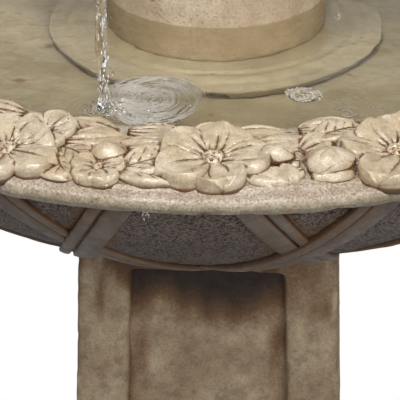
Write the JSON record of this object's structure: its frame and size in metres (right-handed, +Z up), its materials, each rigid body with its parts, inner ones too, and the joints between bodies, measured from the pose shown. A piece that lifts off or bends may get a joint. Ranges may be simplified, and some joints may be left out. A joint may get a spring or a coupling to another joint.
{
  "type": "tiered water fountain",
  "caption": "Free-standing two-tier garden fountain with flower-garland bowls, ribbon lattice, square panelled pedestal and a submersible pump in its column.",
  "frame": {"origin": "on the ground under the middle of the base", "axes": "+Z up, the front faces -Y, the pump's lead leaves the base towards +Y"},
  "size_m": [0.6099, 0.61, 1.11],
  "materials": {
    "cast_stone": "antiqued, grainy, umber wash in the hollows",
    "cast_stone_trim": "antiqued, smoother",
    "black_rubber": "matt",
    "pump_plastic": "fine moulded grain",
    "dial_plastic": "smooth",
    "impeller_plastic": "smooth",
    "clear_hose": "translucent vinyl",
    "stainless_steel": "brushed",
    "ferrite": "matt, ground",
    "aged_brass": "dull, slightly tarnished"
  },
  "bodies": {
    "base_unit": {"ground_pads": "black_rubber", "base_plinth": "cast_stone", "cord_grommet": "black_rubber", "pedestal": "cast_stone", "pedestal_gasket": "black_rubber", "lower_bowl": "cast_stone", "cord_stopper": "black_rubber", "foot_pads": "black_rubber", "column_foot": "cast_stone", "pump_housing": "pump_plastic", "pump_chamber": "pump_plastic", "pump_intake_cover": "pump_plastic", "pump_cord_gland": "black_rubber", "pump_suction_cups": "black_rubber", "pump_shaft": "stainless_steel", "shaft_bushes": "black_rubber", "riser_hose": "clear_hose", "hose_clamp": "stainless_steel"},
    "column_unit": {"column": "cast_stone", "column_gasket": "black_rubber"},
    "upper_tier": {"upper_bowl": "cast_stone", "nozzle_body": "aged_brass", "nozzle_washers": "black_rubber", "nozzle_nut": "aged_brass", "nozzle_pipe": "aged_brass"},
    "finial_unit": {"finial_stem": "cast_stone", "finial_sepals": "cast_stone_trim", "finial_bud": "cast_stone"},
    "pump_rotor": {"rotor_magnet": "ferrite", "impeller": "impeller_plastic"},
    "pump_dial": {"flow_dial": "dial_plastic"}
  },
  "joints": [
    {"name": "column_lift", "type": "slide", "parent": "base_unit", "child": "column_unit", "axis": [0, 0, 1], "range_m": [0, 0.3]},
    {"name": "upper_bowl_lift", "type": "slide", "parent": "column_unit", "child": "upper_tier", "axis": [0, 0, 1], "range_m": [0, 0.06]},
    {"name": "finial_lift", "type": "slide", "parent": "upper_tier", "child": "finial_unit", "axis": [0, 0, 1], "range_m": [0, 0.2]},
    {"name": "impeller_spin", "type": "hinge", "parent": "base_unit", "child": "pump_rotor", "pos_m": [0, 0.02, 0.602], "axis": [0, 1, 0], "continuous": true},
    {"name": "flow_dial_turn", "type": "hinge", "parent": "base_unit", "child": "pump_dial", "pos_m": [0, -0.029, 0.602], "axis": [0, 1, 0], "range_deg": [0, 90]}
  ]
}
